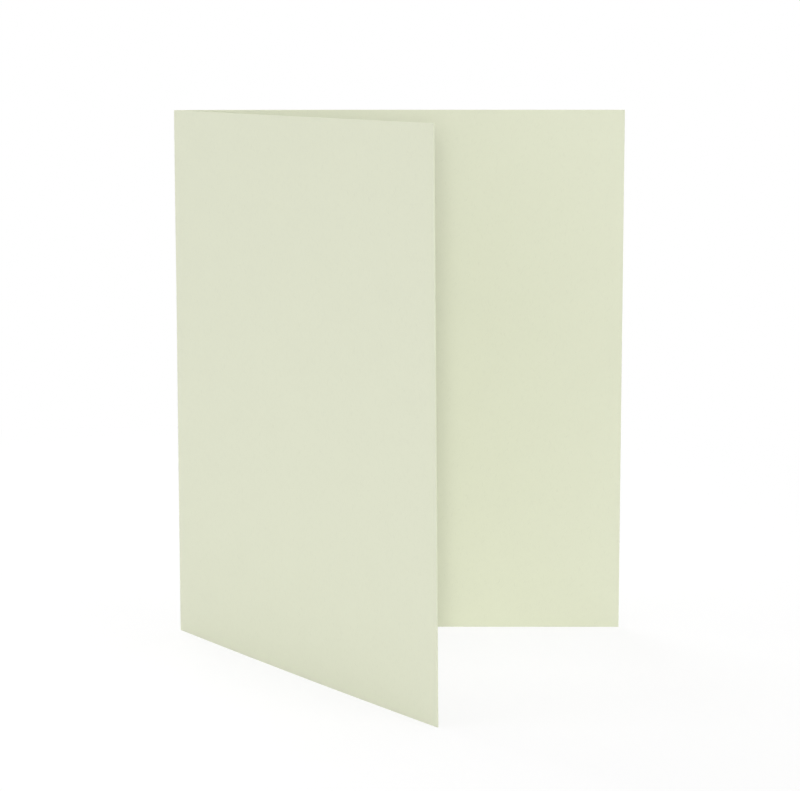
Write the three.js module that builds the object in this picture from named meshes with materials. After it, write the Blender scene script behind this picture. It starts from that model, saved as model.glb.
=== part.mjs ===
// A blank folded card: one sheet of card stock, creased down the middle, standing open on its cut edges.
// Seen from above it is a V. The back panel runs along +X, and the front panel swings out towards -Y.
import * as THREE from "three";
import { mergeVertices } from "three/addons/utils/BufferGeometryUtils.js";

// Driving dimensions, in millimetres and degrees
const cardHeight = 150; // along the crease
const backPanelWidth = 127.5; // from the crease to the free edge, measured along the sheet
const frontPanelWidth = 127.5;
const stockThickness = 0.35; // about 300 grams a square metre
const openingAngle = 54; // between the back panel and the front panel's free end, at half height
const openingTwist = 0.7; // how much wider the card stands open at its top than at its foot
const backBowDepth = 3.65; // how far the crease stands in front of the flat part of the back panel
const backBowReach = 76.5; // how far from the crease the back panel goes on curving
const frontBowDepth = 2.67; // how far the crease stands off the front panel's end, straight on
const creaseInsideRadius = 0.28; // of the bend, on the inside of the fold
const beadHeight = 0.12; // the ridge that scoring raises along the inside of the crease
const beadHalfWidth = 0.9;

// How finely the sheet is divided
const creaseSteps = 8;
const beadSteps = 2;
const panelSteps = 22;
const panelGrading = 1.5; // above 1, the divisions lie closer together near the crease
const heightSteps = 10;

// The angles that the bows make at the crease, so that each curve adds up to its depth
const backBowAngle = (3 * backBowDepth) / backBowReach;
const frontBowAngle = (2 * frontBowDepth) / frontPanelWidth;

const cream = new THREE.Color().setRGB(0.871, 0.882, 0.788, THREE.SRGBColorSpace);
const cardStock = new THREE.MeshStandardMaterial({ color: cream, roughness: 0.85, metalness: 0 });
cardStock.name = "card_stock";

// The direction in plan, in radians from +X, that leads away from the crease along the back panel.
function backDirection(distance) {
  const left = Math.max(0, 1 - distance / backBowReach);
  return backBowAngle * left ** 2;
}

// The same for the front panel. Each level of the sheet has its own opening, because of the twist.
function frontDirection(distance, level) {
  const opening = openingAngle + openingTwist * (level / cardHeight - 0.5);
  const left = 1 - distance / frontPanelWidth;
  return -(THREE.MathUtils.degToRad(opening) + frontBowAngle * left);
}

// How far the sheet turns at the crease, and the length of sheet that the turn takes on each side of its
// middle, measured at mid thickness.
function creaseTurn(level) {
  return Math.PI - backDirection(0) + frontDirection(0, level);
}
const creaseMiddleRadius = creaseInsideRadius + stockThickness / 2;
const creaseHalfLength = (creaseMiddleRadius * creaseTurn(cardHeight / 2)) / 2;

// The heading of someone who walks along the sheet from the back panel's free edge to the front panel's.
// Places on the sheet are distances from the crease: negative on the back panel, positive on the front.
function heading(place, level) {
  const before = backDirection(Math.max(0, -place)) + Math.PI;
  if (place <= -creaseHalfLength) return before;
  if (place >= creaseHalfLength) return frontDirection(place, level) + 2 * Math.PI;
  const share = (place + creaseHalfLength) / (2 * creaseHalfLength);
  return backDirection(0) + Math.PI + share * creaseTurn(level);
}

// The places across one half of the sheet, from the middle of the crease to the free edge.
function halfPlaces(width) {
  const places = [];
  const bentSteps = creaseSteps / 2;
  for (let i = 0; i <= bentSteps; i++) places.push((creaseHalfLength * i) / bentSteps);
  for (let i = 1; i <= beadSteps; i++) {
    places.push(creaseHalfLength + (beadHalfWidth * i) / beadSteps);
  }
  const start = creaseHalfLength + beadHalfWidth;
  for (let i = 1; i <= panelSteps; i++) {
    places.push(start + (width - start) * (i / panelSteps) ** panelGrading);
  }
  return places;
}

const backPlaces = halfPlaces(backPanelWidth).slice(1).reverse();
const sheetPlaces = backPlaces.map((place) => -place).concat(halfPlaces(frontPanelWidth));

// The line of the sheet's middle in plan at one level, as a point and a heading for each place, with the
// crease at the origin.
function planLine(level) {
  const line = sheetPlaces.map((place) => ({ x: 0, y: 0, heading: heading(place, level) }));
  for (let i = 1; i < line.length; i++) {
    const step = sheetPlaces[i] - sheetPlaces[i - 1];
    const along = heading(sheetPlaces[i - 1] + step / 2, level);
    line[i].x = line[i - 1].x + step * Math.cos(along);
    line[i].y = line[i - 1].y + step * Math.sin(along);
  }
  const crease = { ...line[backPlaces.length] };
  for (const point of line) {
    point.x -= crease.x;
    point.y -= crease.y;
  }
  return line;
}

// How much the bead adds on the inside of the fold: a rounded ridge, highest along the crease.
function beadAt(place) {
  const share = Math.min(1, Math.abs(place) / (creaseHalfLength + beadHalfWidth));
  return (beadHeight * (1 + Math.cos(Math.PI * share))) / 2;
}

// A flat blank as one closed box, divided evenly, whose divisions are then moved to their places on the
// folded card. Its Y runs from the outside of the fold, -0.5, to the inside, 0.5.
function foldedSheet() {
  const widthSteps = sheetPlaces.length - 1;
  const blank = new THREE.BoxGeometry(widthSteps, 1, heightSteps, widthSteps, 1, heightSteps);
  blank.deleteAttribute("normal");
  blank.deleteAttribute("uv");
  const geometry = mergeVertices(blank);
  const position = geometry.getAttribute("position");
  const lines = [];
  for (let j = 0; j <= heightSteps; j++) lines.push(planLine((cardHeight * j) / heightSteps));
  for (let k = 0; k < position.count; k++) {
    const i = Math.round(position.getX(k) + widthSteps / 2);
    const j = Math.round(position.getZ(k) + heightSteps / 2);
    const inside = position.getY(k) > 0;
    const point = lines[j][i];
    const offset = inside ? stockThickness / 2 + beadAt(sheetPlaces[i]) : -stockThickness / 2;
    // The inside of the fold is on the left of the walk along the sheet.
    const x = point.x - offset * Math.sin(point.heading);
    const y = point.y + offset * Math.cos(point.heading);
    position.setXYZ(k, x, y, (cardHeight * j) / heightSteps);
  }
  geometry.computeVertexNormals();
  return geometry;
}

const card = new THREE.Mesh(foldedSheet(), cardStock);
card.name = "folded_card";

// The origin is under the middle of the card's box, on the surface that it stands on.
card.geometry.computeBoundingBox();
const middle = card.geometry.boundingBox.getCenter(new THREE.Vector3());
card.position.set(-middle.x, -middle.y, 0);

const part = new THREE.Group();
part.add(card);

export default part;
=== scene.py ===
import math

import bmesh
import bpy
from bpy.props import FloatProperty, FloatVectorProperty, IntProperty, PointerProperty
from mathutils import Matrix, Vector


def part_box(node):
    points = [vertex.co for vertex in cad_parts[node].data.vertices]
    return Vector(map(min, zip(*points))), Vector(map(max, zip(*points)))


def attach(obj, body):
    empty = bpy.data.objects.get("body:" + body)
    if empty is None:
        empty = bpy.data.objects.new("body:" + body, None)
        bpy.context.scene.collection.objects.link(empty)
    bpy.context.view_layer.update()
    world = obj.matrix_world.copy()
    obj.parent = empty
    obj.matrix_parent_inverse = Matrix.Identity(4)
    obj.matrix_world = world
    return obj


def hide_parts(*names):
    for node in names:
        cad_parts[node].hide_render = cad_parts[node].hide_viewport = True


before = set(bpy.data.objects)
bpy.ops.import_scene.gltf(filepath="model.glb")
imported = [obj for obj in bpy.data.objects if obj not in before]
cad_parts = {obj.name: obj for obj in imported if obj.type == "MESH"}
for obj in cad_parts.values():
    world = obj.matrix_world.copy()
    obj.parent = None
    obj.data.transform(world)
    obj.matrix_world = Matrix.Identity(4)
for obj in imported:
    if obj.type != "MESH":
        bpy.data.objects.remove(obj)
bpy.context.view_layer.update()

bl_info = {
    "name": "Folded card",
    "version": (1, 0, 0),
    "blender": (4, 5, 0),
    "location": "3D View > Sidebar > Folded card",
    "description": "Creases a blank of card stock, folds it and stands it in a pale studio",
    "category": "Object",
}

NODE = "folded_card"
PIECE = "card_sheet"
card_low, card_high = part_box(NODE)
MM = 0.001

# Lengths in metres that differ by less than this, or that agree to this many places, count as the same
TINY = 1e-7
DIGITS = 7

# Edges sharper than the first angle are rounded. Faces that meet at less than the second are shaded as one
CORNER_ANGLE = math.radians(50)
SMOOTH_ANGLE = math.radians(20)

# What is noted on each point of the sheet: how far along the sheet it lies from the crease, more than 0 on
# the back panel and less on the front panel, and whether it is on the outside of the fold
PLACE = "place"
OUTSIDE = "outside"

# How much of a lump's height makes a fibre: none up to the first, all from the second
FIBRE_CUT = (0.16, 0.25)
# The same for the paper that cracks open along the crease
CRACK_CUT = (-0.12, 0.2)
# The two lays of fibres: their angle to the grain in degrees, and how straight they are. A fibre strays
# sideways by its length over the second number.
FIBRE_LAYS = ((14, 3), (-38, 2))
FIBRE_HEIGHT = 0.4  # as a share of the tooth's depth

# The wear along the crease. Sizes are shares of the wear's width
CRACK_SIZE = 0.5
CRACK_SQUASH = 0.35  # a crack's size along the crease, as a share of its size across
# Inside the crease this also sets where the painted shade is at its full strength
WORN_THROUGH = 0.25  # how far out the wear is at its full strength
WORN_LEAST = 0.35  # how worn the paper is between the cracks, where 1 is all
RUB_STRENGTH = 0.6  # how far the rub takes the tint towards the worn tint

# What the tooth and the rub add to the faces' roughness, and what the pressed score takes off it
TOOTH_ROUGHER = 0.06
RUB_ROUGHER = 0.05
SCORE_SMOOTHER = 0.03
# How much the faces mirror, and how rough their fuzz is
CARD_GLOSS = 0.4
FUZZ_ROUGHNESS = 0.5

# The cut edges: fibre ends, and the guillotine's drag. Sizes are in thicknesses of the stock and heights
# in millimetres
ENDS_SIZE = 0.3
DRAG_SIZE = 6
ENDS_HEIGHT = 0.012
DRAG_HEIGHT = 0.02
ENDS_CONTRAST = 0.10
DRAG_CONTRAST = 0.05
ENDS_ROUGHER = 0.08
EDGE_GLOSS = 0.3

# The table top
FLOOR_SIDES = 128
FLOOR_ROUNDING = 0.3  # as a share of its thickness
SPECKLE_SIZE = 4 * MM
SPECKLE_CONTRAST = 0.006
FLOOR_ROUGHNESS = 0.9
FLOOR_GLOSS = 0.2

# The camera: the width of its sensor in millimetres, and how near it sees in metres
SENSOR_WIDTH = 36
NEAR_LIMIT = 0.01

# The lamps: name, setting for the power, azimuth and elevation in degrees, distance and size in metres, and
# shape. Azimuth 0 is the camera's side of the card, and the camera's right is positive.
LAMPS = (
    ("left_soft_box", "left_power", -75, 22, 1.3, 0.7, 'SQUARE'),
    ("right_soft_box", "right_power", 55, 26, 1.3, 0.7, 'SQUARE'),
    ("front_lamp", "front_power", -0.6, 5.2, 2.2, 0.264, 'DISK'),
    ("top_soft_box", "top_power", 0, 90, 1.6, 1.2, 'SQUARE'),
    ("back_soft_box", "back_power", -155, 25, 1.4, 0.9, 'SQUARE'),
)


# Sizes, colours and settings that a user would change

class CardSizes(bpy.types.PropertyGroup):
    panel_width: FloatProperty(
        name="Panel width", description="From the crease to a free edge, measured along the sheet",
        default=127.5 * MM, unit='LENGTH', precision=5)
    height: FloatProperty(
        name="Height", description="Along the crease",
        default=card_high.z - card_low.z, unit='LENGTH', precision=5)
    thickness: FloatProperty(
        name="Stock thickness", description="Of the card stock, about 300 grams a square metre",
        default=0.35 * MM, unit='LENGTH', precision=5)
    opening: FloatProperty(
        name="Opening",
        description="Between the back panel and the front panel's free end, at half height",
        default=math.radians(54), subtype='ANGLE')
    twist: FloatProperty(
        name="Twist", description="How much wider the card stands open at its top than at its foot",
        default=math.radians(0.7), subtype='ANGLE')
    back_bow_depth: FloatProperty(
        name="Back bow",
        description="How far the crease stands in front of the flat part of the back panel",
        default=3.65 * MM, unit='LENGTH', precision=5)
    back_bow_reach: FloatProperty(
        name="Back bow reach", description="How far from the crease the back panel goes on curving",
        default=76.5 * MM, unit='LENGTH', precision=5)
    front_bow_depth: FloatProperty(
        name="Front bow",
        description="How far the crease stands off the front panel's end, straight on",
        default=2.67 * MM, unit='LENGTH', precision=5)
    crease_radius: FloatProperty(
        name="Crease radius", description="Of the bend, on the inside of the fold",
        default=0.28 * MM, unit='LENGTH', precision=5)
    bead_height: FloatProperty(
        name="Bead height", description="The ridge that scoring raises along the inside of the crease",
        default=0.12 * MM, unit='LENGTH', precision=5)
    bead_half_width: FloatProperty(
        name="Bead half width", description="How far the ridge reaches past the bend on each side",
        default=0.9 * MM, unit='LENGTH', precision=5)
    edge_softness: FloatProperty(
        name="Edge softness", description="How much the guillotine's edges are rounded",
        default=0.04 * MM, unit='LENGTH', precision=5)
    waviness: FloatProperty(
        name="Waviness", description="How far the stock strays from a true surface, from low to high",
        default=0.12 * MM, unit='LENGTH', precision=5)
    wave_size: FloatProperty(
        name="Wave size", description="Across one of the stock's slow waves",
        default=55 * MM, unit='LENGTH', precision=5)
    bend_steps: IntProperty(
        name="Steps in the bend", description="On each side of the middle of the crease", default=8)
    bead_steps: IntProperty(
        name="Steps in the bead", description="On each side of the bend", default=5)
    panel_steps: IntProperty(
        name="Steps across a panel", description="They lie closer together near the crease", default=70)
    rows: IntProperty(
        name="Rows", description="How many rows of faces the sheet has from foot to top", default=96)


class CardLook(bpy.types.PropertyGroup):
    tint: FloatVectorProperty(
        name="Tint", description="Pale ivory with a green cast, the same on both sides",
        default=(0.728, 0.751, 0.594), min=0, max=1, subtype='COLOR')
    worn_tint: FloatVectorProperty(
        name="Worn tint", description="Of the fibres that break open along the outside of the crease",
        default=(0.770, 0.785, 0.650), min=0, max=1, subtype='COLOR')
    edge_tint: FloatVectorProperty(
        name="Cut edge tint", description="Of the bare fibres in the guillotined edges",
        default=(0.712, 0.738, 0.570), min=0, max=1, subtype='COLOR')
    roughness: FloatProperty(
        name="Roughness", description="Of the uncoated faces",
        default=0.86, min=0, max=1, subtype='FACTOR')
    sheen: FloatProperty(
        name="Fuzz", description="How much the loose fibres catch light at a low angle",
        default=0.05, min=0, max=1, subtype='FACTOR')
    cloud_size: FloatProperty(
        name="Cloud size", description="Across one cloud of denser pulp",
        default=8 * MM, unit='LENGTH', precision=5)
    cloud_contrast: FloatProperty(
        name="Cloud contrast", description="How much darker the densest pulp is than the thinnest",
        default=0.014, min=0, max=1, subtype='FACTOR')
    felt_size: FloatProperty(
        name="Felt mark size", description="Across one hollow that the paper mill's felt pressed in",
        default=1.3 * MM, unit='LENGTH', precision=5)
    felt_depth: FloatProperty(
        name="Felt mark depth", description="From a hollow's bottom to the top beside it",
        default=0.012 * MM, unit='LENGTH', precision=6)
    tooth_size: FloatProperty(
        name="Tooth size", description="Across one grain of the surface",
        default=0.27 * MM, unit='LENGTH', precision=5)
    tooth_depth: FloatProperty(
        name="Tooth depth", description="From the bottom of the grain to its top",
        default=0.009 * MM, unit='LENGTH', precision=6)
    fibre_length: FloatProperty(
        name="Fibre length", description="Of the fibres that show in the surface",
        default=2.4 * MM, unit='LENGTH', precision=5)
    fibre_width: FloatProperty(
        name="Fibre width", description="Of the fibres that show in the surface",
        default=0.11 * MM, unit='LENGTH', precision=5)
    fibre_contrast: FloatProperty(
        name="Fibre contrast", description="How much darker a fibre is than the pulp round it",
        default=0.08, min=0, max=1, subtype='FACTOR')
    # This width also sets how far the painted shade in the inside of the crease reaches
    wear_and_shade_width: FloatProperty(
        name="Wear width", description="How far from the crease and from the edges handling shows",
        default=1.1 * MM, unit='LENGTH', precision=5)
    edge_soil: FloatProperty(
        name="Edge soil", description="How much darker handling has made the faces along their edges",
        default=0.02, min=0, max=1, subtype='FACTOR')
    # Painted shade: the inside of the crease is made darker in colour, as if it lay in shadow
    painted_score_shade: FloatProperty(
        name="Score shade", description="How much darker the pressed inside of the crease is",
        default=0.03, min=0, max=1, subtype='FACTOR')
    edge_roughness: FloatProperty(
        name="Cut edge roughness", description="Of the bare fibre ends in the guillotined edges",
        default=0.93, min=0, max=1, subtype='FACTOR')


class StudioSettings(bpy.types.PropertyGroup):
    camera_place: FloatVectorProperty(
        name="Camera place", description="Where the camera stands",
        default=(0.0015, -0.6648, 0.1712), subtype='TRANSLATION', unit='LENGTH', precision=5)
    camera_pitch: FloatProperty(
        name="Camera pitch", description="How far the camera looks down",
        default=math.radians(8.153), subtype='ANGLE')
    camera_yaw: FloatProperty(
        name="Camera yaw", description="How far the camera turns to its left",
        default=math.radians(0.12), subtype='ANGLE')
    lens: FloatProperty(
        name="Lens", description="Focal length in millimetres, on a sensor 36 mm wide", default=113.49)
    floor_radius: FloatProperty(
        name="Floor radius", description="Of the round white table that the card stands on",
        default=2.6, unit='LENGTH')
    floor_thickness: FloatProperty(
        name="Floor thickness", description="Of the table's top", default=0.03, unit='LENGTH')
    floor_tint: FloatVectorProperty(
        name="Floor tint", description="Of the table's matt white paint",
        default=(0.95, 0.95, 0.95), min=0, max=1, subtype='COLOR')
    floor_glow: FloatProperty(
        name="Floor glow",
        description="How much of what the camera sees of the floor by the card is plain white",
        default=0.78, min=0, max=1, subtype='FACTOR')
    fade_start: FloatProperty(
        name="Fade start", description="How far from the card the floor starts to go plain white",
        default=0.12, unit='LENGTH')
    fade_end: FloatProperty(
        name="Fade end", description="How far from the card the floor is plain white to the camera",
        default=0.45, unit='LENGTH')
    surround: FloatProperty(
        name="Surround", description="How bright the white room is to the card, where 1 is white",
        default=0.18, min=0)
    left_power: FloatProperty(
        name="Left soft box", description="Lights the front panel, low from the left",
        default=3.42, unit='POWER')
    right_power: FloatProperty(
        name="Right soft box", description="Lights the inside of the back panel",
        default=3.35, unit='POWER')
    front_power: FloatProperty(
        name="Front lamp", description="Small, beside the camera; it casts the front panel's soft shadow",
        default=15.6, unit='POWER')
    top_power: FloatProperty(
        name="Top soft box", description="Lights the floor", default=17, unit='POWER')
    back_power: FloatProperty(
        name="Back soft box", description="Lights the outside of the back panel",
        default=7.8, unit='POWER')


# The fold, in plan. Directions lead away from the crease, in radians from +X

class Fold:
    """Where the sheet goes on each side of its crease, at each level of its height."""

    # Above 1, the divisions of a panel lie closer together near the crease
    panel_grading = 1.4

    def __init__(self, sizes):
        self.sizes = sizes
        self.back_angle = 3 * sizes.back_bow_depth / sizes.back_bow_reach
        self.front_angle = 2 * sizes.front_bow_depth / sizes.panel_width
        middle_radius = sizes.crease_radius + sizes.thickness / 2
        self.bend_half = middle_radius * self.turn(sizes.height / 2) / 2

    def back_panel(self, distance):
        """The back panel's direction, past the bend: it curves, and is flat from the bow's reach on."""
        return self.back_angle * max(0, 1 - distance / self.sizes.back_bow_reach) ** 2

    def front_panel(self, distance, level):
        """The front panel's direction, past the bend: one even curve, opening wider towards the top."""
        opening = self.sizes.opening + self.sizes.twist * (level / self.sizes.height - 0.5)
        return -(opening + self.front_angle * (1 - distance / self.sizes.panel_width))

    def inwards(self):
        """From the crease to the middle between the panels."""
        return Vector((math.cos(self.sizes.opening / 2), -math.sin(self.sizes.opening / 2), 0))

    def turn(self, level):
        """How far the sheet turns at its crease."""
        return math.pi - self.back_panel(0) + self.front_panel(0, level)

    def back(self, distance, level):
        """The sheet's direction on the back panel's side, the bend included."""
        inside_bend = max(0, 1 - distance / self.bend_half)
        return self.back_panel(distance) + inside_bend * self.turn(level) / 2

    def front(self, distance, level):
        """The sheet's direction on the front panel's side, the bend included."""
        inside_bend = max(0, 1 - distance / self.bend_half)
        return self.front_panel(distance, level) - inside_bend * self.turn(level) / 2

    def places(self):
        """How far from the crease the blank is divided, on either side."""
        sizes = self.sizes
        bend = [self.bend_half * i / sizes.bend_steps for i in range(sizes.bend_steps + 1)]
        bead = [self.bend_half + sizes.bead_half_width * i / sizes.bead_steps
                for i in range(1, sizes.bead_steps + 1)]
        rest = sizes.panel_width - bead[-1]
        panel = [bead[-1] + rest * (i / sizes.panel_steps) ** self.panel_grading
                 for i in range(1, sizes.panel_steps + 1)]
        return bend + bead + panel


# Work on a mesh, as by hand

def deselect_all():
    """Closes the open mesh, if there is one, and deselects everything."""
    if bpy.context.mode != 'OBJECT':
        bpy.ops.object.mode_set(mode='OBJECT')
    bpy.ops.object.select_all(action='DESELECT')


def edit(piece):
    """Makes a piece the one that is selected, and opens its mesh."""
    deselect_all()
    piece.select_set(True)
    bpy.context.view_layer.objects.active = piece
    bpy.ops.object.mode_set(mode='EDIT')


def pick_points(piece, wanted):
    """Selects the points of an open mesh for which wanted(point) is true."""
    mesh = bmesh.from_edit_mesh(piece.data)
    for point in mesh.verts:
        point.select_set(bool(wanted(point)))
    mesh.select_flush(True)
    bmesh.update_edit_mesh(piece.data, loop_triangles=False, destructive=False)


def turn_picked(angle, centre):
    """Turns what is picked about an upright line. With no window the operator turns the other way."""
    bpy.ops.transform.rotate(value=-angle, orient_axis='Z', orient_type='GLOBAL', center_override=centre)


def apply_modifier(piece, kind, **settings):
    """Adds a modifier, gives it its settings and applies it."""
    modifier = piece.modifiers.new(kind.title(), kind)
    for name, value in settings.items():
        setattr(modifier, name, value)
    bpy.context.view_layer.objects.active = piece
    bpy.ops.object.modifier_apply(modifier=modifier.name)


# Materials

class Wire:
    """An output of a shader's node. A sum on it adds a Math node."""

    def __init__(self, nodes, socket):
        self.nodes = nodes
        self.socket = socket

    def other(self, name):
        """Another output of the same node."""
        return Wire(self.nodes, self.socket.node.outputs[name])

    def __add__(self, value):
        return self.nodes.sum('ADD', self, value)

    def __sub__(self, value):
        return self.nodes.sum('SUBTRACT', self, value)

    def __rsub__(self, value):
        return self.nodes.sum('SUBTRACT', value, self)

    def __mul__(self, value):
        return self.nodes.sum('MULTIPLY', self, value)

    __radd__ = __add__
    __rmul__ = __mul__


class Nodes:
    """The nodes of a material or of the world."""

    def __init__(self, owner):
        owner.use_nodes = True
        self.tree = owner.node_tree
        self.tree.nodes.clear()

    def add(self, kind, settings=None, sockets=None, out=0):
        """Adds a node: its settings first, then its sockets' values or wires. Gives one of its outputs."""
        node = self.tree.nodes.new(kind)
        for name, value in (settings or {}).items():
            setattr(node, name, value)
        for name, value in (sockets or {}).items():
            if isinstance(value, Wire):
                self.tree.links.new(value.socket, node.inputs[name])
            else:
                node.inputs[name].default_value = value
        return Wire(self, node.outputs[out]) if node.outputs else None

    def sum(self, operation, *values):
        """A Math node."""
        return self.add('ShaderNodeMath', {'operation': operation}, dict(enumerate(values)))

    def step(self, value, low, high):
        """A smooth step: 0 below low and 1 above high."""
        return self.add('ShaderNodeMapRange', {'interpolation_type': 'SMOOTHSTEP'},
                        {'Value': value, 'From Min': low, 'From Max': high})

    def noise(self, vector, size, detail=2, roughness=0.5):
        """Lumps about size across, from about -0.5 to 0.5."""
        lumps = self.add('ShaderNodeTexNoise', None, {
            'Vector': vector, 'Scale': 1 / size, 'Detail': detail, 'Roughness': roughness})
        return lumps - 0.5

    def scaled(self, colour, amount):
        """A colour, darker or lighter by an amount that is 1 where it stays as it is."""
        return self.add('ShaderNodeVectorMath', {'operation': 'SCALE'},
                        {'Vector': colour, 'Scale': amount})

    def blend(self, factor, first, second):
        """From the first colour to the second as the factor goes from 0 to 1."""
        node = self.add('ShaderNodeMix', {'data_type': 'RGBA'}).socket.node
        for socket, value in ((node.inputs[0], factor), (node.inputs[6], first), (node.inputs[7], second)):
            if isinstance(value, Wire):
                self.tree.links.new(value.socket, socket)
            else:
                socket.default_value = value
        return Wire(self, node.outputs[2])

    def finish(self, shader, kind='ShaderNodeOutputMaterial'):
        """Leads a shader to the output."""
        self.add(kind, None, {'Surface': shader})


def strands(nodes, vector, width, length, angle, bend):
    """Sparse thin fibres that lie at an angle to the grain: 1 on a fibre and 0 beside it."""
    wander = nodes.add('ShaderNodeTexNoise', None,
                       {'Vector': vector, 'Scale': 1 / length, 'Detail': 1}, 'Color')
    bent = nodes.add('ShaderNodeVectorMath', {'operation': 'MULTIPLY_ADD'},
                     {0: wander, 1: (bend, bend, bend), 2: vector})
    laid = nodes.add('ShaderNodeMapping', {'vector_type': 'TEXTURE'},
                     {'Vector': bent, 'Rotation': (0, 0, angle), 'Scale': (width, length, 1)})
    return nodes.step(nodes.noise(laid, 1, detail=1), *FIBRE_CUT)


def make_card_face(look, sizes):
    """Uncoated card: pulp clouds, the felt's mark, tooth, fibres, wear at crease and edges, painted shade
    in the score.
    """
    material = bpy.data.materials.new("card_face")
    nodes = Nodes(material)
    flat = nodes.add('ShaderNodeMapping', None, {
        'Vector': nodes.add('ShaderNodeUVMap', {'uv_map': "UVMap"}),
        'Location': (-sizes.panel_width, 0, 0),
        'Scale': (2 * sizes.panel_width, sizes.height, 1)})
    across = nodes.add('ShaderNodeSeparateXYZ', None, {'Vector': flat})
    up = across.other('Y')
    outside = nodes.add('ShaderNodeAttribute', {'attribute_name': OUTSIDE}, None, 'Fac')

    clouds = nodes.noise(flat, look.cloud_size, detail=3, roughness=0.6)
    felt = nodes.noise(flat, look.felt_size, detail=2)
    tooth = nodes.noise(flat, look.tooth_size, detail=3, roughness=0.65)
    lays = [strands(nodes, flat, look.fibre_width, look.fibre_length, math.radians(angle),
                    look.fibre_length / straightness) for angle, straightness in FIBRE_LAYS]
    fibres = nodes.sum('MAXIMUM', *lays)

    from_crease = nodes.sum('ABSOLUTE', across)
    to_side = sizes.panel_width - from_crease
    to_end = nodes.sum('MINIMUM', up, sizes.height - up)
    to_edge = nodes.sum('MINIMUM', to_side, to_end)
    crackle = nodes.add('ShaderNodeMapping', {'vector_type': 'TEXTURE'},
                        {'Vector': flat, 'Scale': (1, CRACK_SQUASH, 1)})
    cracks = nodes.noise(crackle, CRACK_SIZE * look.wear_and_shade_width, detail=4, roughness=0.7)
    broken = nodes.step(cracks, *CRACK_CUT)
    near_crease = 1 - nodes.step(from_crease, WORN_THROUGH * look.wear_and_shade_width, look.wear_and_shade_width)
    rubbed = near_crease * outside * (WORN_LEAST + (1 - WORN_LEAST) * broken)
    # The inside of the crease: the pressing makes it smoother, and painted shade darkens it
    pressed = near_crease * (1 - outside)
    handled = (1 - nodes.step(to_edge, 0, look.wear_and_shade_width)) * (0.5 + felt)

    # Darker tone from pulp, fibres and handling soil, with painted shade in the inside of the crease as the
    # last term
    shade = (1 - look.cloud_contrast * clouds - look.cloud_contrast * felt - look.cloud_contrast * tooth
             - look.fibre_contrast * fibres - look.edge_soil * handled - look.painted_score_shade * pressed)
    stock = nodes.blend(RUB_STRENGTH * rubbed, (*look.tint, 1), (*look.worn_tint, 1))
    felt_mm, tooth_mm = look.felt_depth / MM, look.tooth_depth / MM
    grain = felt_mm * felt + tooth_mm * tooth
    height = grain + FIBRE_HEIGHT * tooth_mm * fibres + tooth_mm * rubbed * broken
    bump = nodes.add('ShaderNodeBump', None, {'Strength': 1, 'Distance': MM, 'Height': height})
    nodes.finish(nodes.add('ShaderNodeBsdfPrincipled', None, {
        'Base Color': nodes.scaled(stock, shade),
        'Roughness': (look.roughness + TOOTH_ROUGHER * tooth + RUB_ROUGHER * rubbed
                      - SCORE_SMOOTHER * pressed),
        'Specular IOR Level': CARD_GLOSS,
        'Sheen Weight': look.sheen,
        'Sheen Roughness': FUZZ_ROUGHNESS,
        'Normal': bump}))
    return material


def make_cut_edge(look, sizes):
    """The guillotined edge: bare fibre ends, a little rougher and duller than the faces."""
    material = bpy.data.materials.new("card_cut_edge")
    nodes = Nodes(material)
    place = nodes.add('ShaderNodeTexCoord', None, None, 'Object')
    ends = nodes.noise(place, ENDS_SIZE * sizes.thickness, detail=3, roughness=0.7)
    drag = nodes.noise(place, DRAG_SIZE * sizes.thickness, detail=2)
    shade = 1 + ENDS_CONTRAST * ends + DRAG_CONTRAST * drag
    height = ENDS_HEIGHT * ends + DRAG_HEIGHT * drag
    bump = nodes.add('ShaderNodeBump', None, {'Strength': 1, 'Distance': MM, 'Height': height})
    nodes.finish(nodes.add('ShaderNodeBsdfPrincipled', None, {
        'Base Color': nodes.scaled(look.edge_tint, shade),
        'Roughness': look.edge_roughness + ENDS_ROUGHER * ends,
        'Specular IOR Level': EDGE_GLOSS,
        'Normal': bump}))
    return material


# The sheet

def cut_blank(sizes):
    """A flat upright blank with its crease on the Z axis, the back panel at +X, the front one at -X."""
    deselect_all()
    bpy.ops.mesh.primitive_plane_add(
        size=1, location=(0, 0, sizes.height / 2), rotation=(math.pi / 2, 0, 0))
    sheet = bpy.context.object
    sheet.name = PIECE
    sheet.data.name = PIECE
    sheet.scale = (2 * sizes.panel_width, sizes.height, 1)
    bpy.ops.object.transform_apply(location=True, rotation=True, scale=True)
    return sheet


def give_materials(sheet, look, sizes):
    """The faces' material comes first, and the cut edges' second, for the thickness to put on its rim."""
    sheet.data.materials.append(make_card_face(look, sizes))
    sheet.data.materials.append(make_cut_edge(look, sizes))


def divide_blank(sheet, places):
    """Cuts the blank upright at each place, and notes on each point how far along the sheet it lies."""
    edit(sheet)
    for place in [0] + [side * p for p in places[1:-1] for side in (1, -1)]:
        bpy.ops.mesh.select_all(action='SELECT')
        bpy.ops.mesh.bisect(plane_co=(place, 0, 0), plane_no=(1, 0, 0))
    mesh = bmesh.from_edit_mesh(sheet.data)
    layer = mesh.verts.layers.float.new(PLACE)
    for point in mesh.verts:
        point[layer] = point.co.x
    bmesh.update_edit_mesh(sheet.data)


def fold_side(sheet, places, side, flat_direction, direction, level):
    """Folds one panel's foot or top, from its free end in, so that each line is still in its flat place."""
    middles = [(near + far) / 2 for near, far in zip(places, places[1:])]
    directions = [flat_direction] + [direction(middle, level) for middle in middles]
    for i in reversed(range(len(middles))):
        layer = bmesh.from_edit_mesh(sheet.data).verts.layers.float[PLACE]
        beyond = places[i] + TINY
        pick_points(sheet, lambda p: side * p[layer] > beyond and abs(p.co.z - level) < TINY)
        turn_picked(directions[i + 1] - directions[i], (side * places[i], 0, level))


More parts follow.
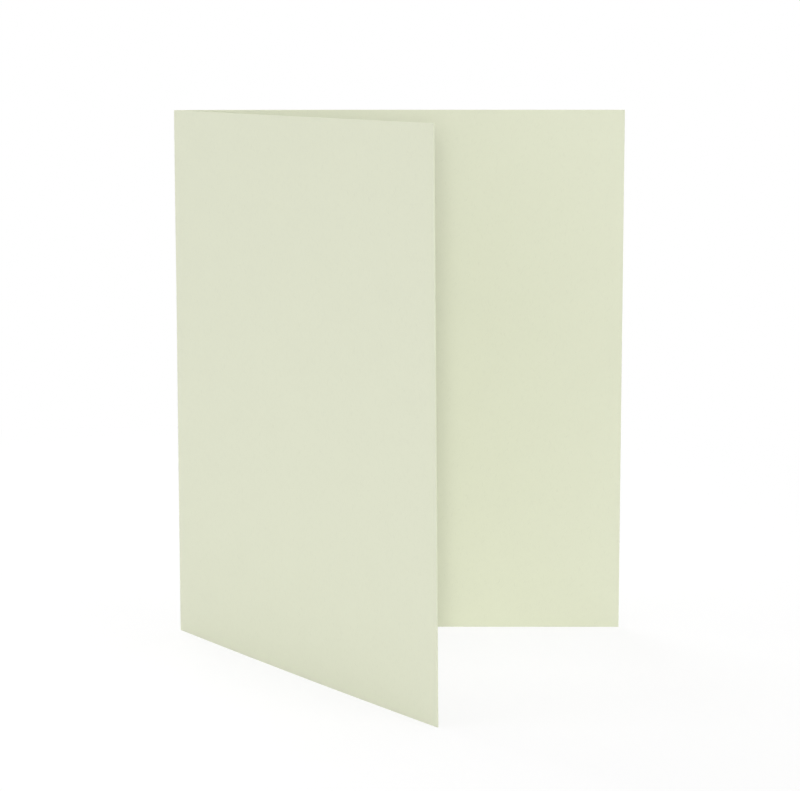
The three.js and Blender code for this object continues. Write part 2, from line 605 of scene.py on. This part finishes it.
def fold_sheet(sheet, sizes):
    """Folds the foot and the top by themselves, so that the front panel has its slight twist."""
    fold = Fold(sizes)
    places = fold.places()
    divide_blank(sheet, places)
    for level in (0, sizes.height):
        fold_side(sheet, places, 1, 0, fold.back, level)
        fold_side(sheet, places, -1, -math.pi, fold.front, level)


def add_rows(sheet, rows):
    """Divides the upright edges evenly, from foot to top."""
    bpy.ops.mesh.select_mode(type='EDGE')
    mesh = bmesh.from_edit_mesh(sheet.data)
    for edge in mesh.edges:
        low, high = (point.co.z for point in edge.verts)
        edge.select_set(abs(high - low) > TINY)
    bmesh.update_edit_mesh(sheet.data)
    bpy.ops.mesh.subdivide(number_cuts=rows - 1)
    bpy.ops.mesh.select_mode(type='VERT')
    bpy.ops.object.mode_set(mode='OBJECT')


def let_it_stray(sheet, sizes):
    """Gives the stock the slow waves of real card."""
    waves = bpy.data.textures.new("slow_waves", 'CLOUDS')
    waves.noise_scale = sizes.wave_size
    waves.noise_depth = 1
    apply_modifier(sheet, 'DISPLACE', texture=waves, texture_coords='LOCAL', direction='NORMAL',
                   mid_level=0.5, strength=sizes.waviness)
    bpy.data.textures.remove(waves)


def raise_bead(sheet, sizes):
    """Raises the inside of the crease into the rounded ridge that scoring leaves."""
    reach = Fold(sizes).bend_half + sizes.bead_half_width
    inwards = Fold(sizes).inwards()
    edit(sheet)
    mesh = bmesh.from_edit_mesh(sheet.data)
    layer = mesh.verts.layers.float[PLACE]
    steps = sorted({round(abs(p[layer]), DIGITS) for p in mesh.verts if abs(p[layer]) < reach - TINY})
    for step in steps:
        height = sizes.bead_height * (1 + math.cos(math.pi * step / reach)) / 2
        layer = bmesh.from_edit_mesh(sheet.data).verts.layers.float[PLACE]
        pick_points(sheet, lambda p: abs(abs(p[layer]) - step) < TINY and p.normal.dot(inwards) > 0)
        bpy.ops.transform.shrink_fatten(value=-height, use_even_offset=False)
    bpy.ops.object.mode_set(mode='OBJECT')


def mark_outside(sheet, sizes):
    """Notes which points are on the outside of the fold, where the crease is rubbed."""
    inwards = Fold(sizes).inwards()
    edit(sheet)
    mesh = bmesh.from_edit_mesh(sheet.data)
    layer = mesh.verts.layers.float.new(OUTSIDE)
    for face in mesh.faces:
        if face.material_index == 0:
            for point in face.verts:
                point[layer] = 0 if face.normal.dot(inwards) > 0 else 1
    bmesh.update_edit_mesh(sheet.data)
    bpy.ops.object.mode_set(mode='OBJECT')


def give_thickness(sheet, sizes):
    """Thickens the sheet both ways from its middle, raises the bead and rounds the cut edges."""
    apply_modifier(sheet, 'SOLIDIFY', thickness=sizes.thickness, offset=0, use_even_offset=True,
                   use_quality_normals=True, material_offset_rim=1)
    mark_outside(sheet, sizes)
    raise_bead(sheet, sizes)
    apply_modifier(sheet, 'BEVEL', width=sizes.edge_softness, segments=2, limit_method='ANGLE',
                   angle_limit=CORNER_ANGLE)


def stand_in_place(sheet):
    """Moves the sheet so that its box has its middle where the solid card's has, on the floor."""
    points = [point.co for point in sheet.data.vertices]
    middle = [(min(p[a] for p in points) + max(p[a] for p in points)) / 2 for a in range(2)]
    deselect_all()
    sheet.select_set(True)
    bpy.context.view_layer.objects.active = sheet
    wanted = (card_low + card_high) / 2
    sheet.location = (wanted.x - middle[0], wanted.y - middle[1], 0)
    bpy.ops.object.transform_apply(location=True, rotation=True, scale=True)


class CARD_OT_fold_sheet(bpy.types.Operator):
    """Cut a blank, crease and fold it, give it its thickness and stand it where the solid card stands"""
    bl_idname = "card.fold_sheet"
    bl_label = "Fold the sheet"

    def execute(self, context):
        sizes = context.scene.card_sizes
        sheet = cut_blank(sizes)
        give_materials(sheet, context.scene.card_look, sizes)
        fold_sheet(sheet, sizes)
        add_rows(sheet, sizes.rows)
        let_it_stray(sheet, sizes)
        give_thickness(sheet, sizes)
        stand_in_place(sheet)
        bpy.ops.object.shade_smooth_by_angle(angle=SMOOTH_ANGLE)
        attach(sheet, "root")
        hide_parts(NODE)
        return {'FINISHED'}


# The studio

def lay_floor(studio):
    """A round white table top, bevelled round its rim, for the card to stand on."""
    deselect_all()
    bpy.ops.mesh.primitive_circle_add(vertices=FLOOR_SIDES, radius=studio.floor_radius, fill_type='NGON',
                                      location=(0, 0, -studio.floor_thickness))
    floor = bpy.context.object
    floor.name = "table_top"
    floor.data.name = "table_top"
    edit(floor)
    bpy.ops.mesh.select_all(action='SELECT')
    bpy.ops.mesh.extrude_region_move(TRANSFORM_OT_translate={"value": (0, 0, studio.floor_thickness)})
    bpy.ops.mesh.select_all(action='SELECT')
    bpy.ops.mesh.normals_make_consistent(inside=False)
    bpy.ops.object.mode_set(mode='OBJECT')
    apply_modifier(floor, 'BEVEL', width=FLOOR_ROUNDING * studio.floor_thickness, segments=3,
                   limit_method='ANGLE', angle_limit=CORNER_ANGLE)
    bpy.ops.object.transform_apply(location=True, rotation=True, scale=True)
    floor.data.materials.append(make_floor_paint(studio))


def seen_white(nodes):
    """1 for rays from the camera, in reflections and through glass, and 0 for those that light things."""
    path = nodes.add('ShaderNodeLightPath', None, None, 'Is Camera Ray')
    mirrored = nodes.sum('MAXIMUM', path.other('Is Glossy Ray'), path.other('Is Transmission Ray'))
    return nodes.sum('MAXIMUM', path, mirrored)


def make_floor_paint(studio):
    """Matt white, and mostly plain white to the camera, so that it has no far edge but keeps the shade."""
    material = bpy.data.materials.new("table_paint")
    nodes = Nodes(material)
    place = nodes.add('ShaderNodeTexCoord', None, None, 'Object')
    speckle = nodes.noise(place, SPECKLE_SIZE, detail=2)
    paint = nodes.add('ShaderNodeBsdfPrincipled', None, {
        'Base Color': nodes.scaled(studio.floor_tint, 1 + SPECKLE_CONTRAST * speckle),
        'Roughness': FLOOR_ROUGHNESS,
        'Specular IOR Level': FLOOR_GLOSS})
    white = nodes.add('ShaderNodeEmission', None, {'Color': (1, 1, 1, 1), 'Strength': 1})
    away = nodes.add('ShaderNodeVectorMath', {'operation': 'LENGTH'}, {0: place}, 'Value')
    faded = nodes.sum('MAXIMUM', nodes.step(away, studio.fade_start, studio.fade_end), studio.floor_glow)
    share = faded * seen_white(nodes)
    nodes.finish(nodes.add('ShaderNodeMixShader', None, {0: share, 1: paint, 2: white}))
    return material


def paint_room(studio):
    """A white room: plain white to the camera, and dimmer to the card."""
    room = bpy.data.worlds.new("white_room")
    bpy.context.scene.world = room
    nodes = Nodes(room)
    dim = nodes.add('ShaderNodeBackground', None, {'Color': (1, 1, 1, 1), 'Strength': studio.surround})
    white = nodes.add('ShaderNodeBackground', None, {'Color': (1, 1, 1, 1), 'Strength': 1})
    nodes.finish(nodes.add('ShaderNodeMixShader', None, {0: seen_white(nodes), 1: dim, 2: white}),
                 'ShaderNodeOutputWorld')


def hang_lamp(name, azimuth, elevation, distance, size, shape, power):
    """A flat lamp that faces the middle of the card, and that the camera doesn't see."""
    turn, lift = math.radians(azimuth), math.radians(elevation)
    away = Vector((math.sin(turn) * math.cos(lift), -math.cos(turn) * math.cos(lift), math.sin(lift)))
    deselect_all()
    bpy.ops.object.light_add(type='AREA', location=Vector((0, 0, card_high.z / 2)) + distance * away)
    lamp = bpy.context.object
    lamp.name = name
    lamp.data.name = name
    lamp.rotation_euler = away.to_track_quat('Z', 'Y').to_euler()
    lamp.data.shape = shape
    lamp.data.size = size
    lamp.data.energy = power
    lamp.visible_camera = False


def set_camera(studio):
    """The camera looks down a little on the card, with no shift."""
    deselect_all()
    bpy.ops.object.camera_add(location=studio.camera_place,
                              rotation=(math.pi / 2 - studio.camera_pitch, 0, studio.camera_yaw))
    camera = bpy.context.object
    camera.name = "camera"
    camera.data.lens = studio.lens
    camera.data.sensor_width = SENSOR_WIDTH
    camera.data.clip_start = NEAR_LIMIT
    bpy.context.scene.camera = camera


class CARD_OT_set_stage(bpy.types.Operator):
    """Lay the white floor, paint the room, hang the soft lamps and set the camera"""
    bl_idname = "card.set_stage"
    bl_label = "Set the stage"

    def execute(self, context):
        studio = context.scene.card_studio
        lay_floor(studio)
        paint_room(studio)
        for name, setting, *place_and_form in LAMPS:
            hang_lamp(name, *place_and_form, getattr(studio, setting))
        set_camera(studio)
        context.scene.view_settings.view_transform = 'Standard'
        return {'FINISHED'}


class CARD_PT_workshop(bpy.types.Panel):
    bl_idname = "CARD_PT_workshop"
    bl_label = "Folded card"
    bl_space_type = 'VIEW_3D'
    bl_region_type = 'UI'
    bl_category = "Folded card"

    def draw(self, context):
        column = self.layout.column()
        scene = context.scene
        for group, operator in ((scene.card_sizes, None), (scene.card_look, CARD_OT_fold_sheet),
                                (scene.card_studio, CARD_OT_set_stage)):
            for name in group.__annotations__:
                column.prop(group, name)
            if operator:
                column.operator(operator.bl_idname)


CLASSES = (CardSizes, CardLook, StudioSettings, CARD_OT_fold_sheet, CARD_OT_set_stage, CARD_PT_workshop)


def register():
    for kind in CLASSES:
        bpy.utils.register_class(kind)
    bpy.types.Scene.card_sizes = PointerProperty(type=CardSizes)
    bpy.types.Scene.card_look = PointerProperty(type=CardLook)
    bpy.types.Scene.card_studio = PointerProperty(type=StudioSettings)


def unregister():
    del bpy.types.Scene.card_sizes
    del bpy.types.Scene.card_look
    del bpy.types.Scene.card_studio
    for kind in reversed(CLASSES):
        bpy.utils.unregister_class(kind)


def main():
    register()
    bpy.ops.card.fold_sheet()
    bpy.ops.card.set_stage()


if __name__ == "__main__":
    main()
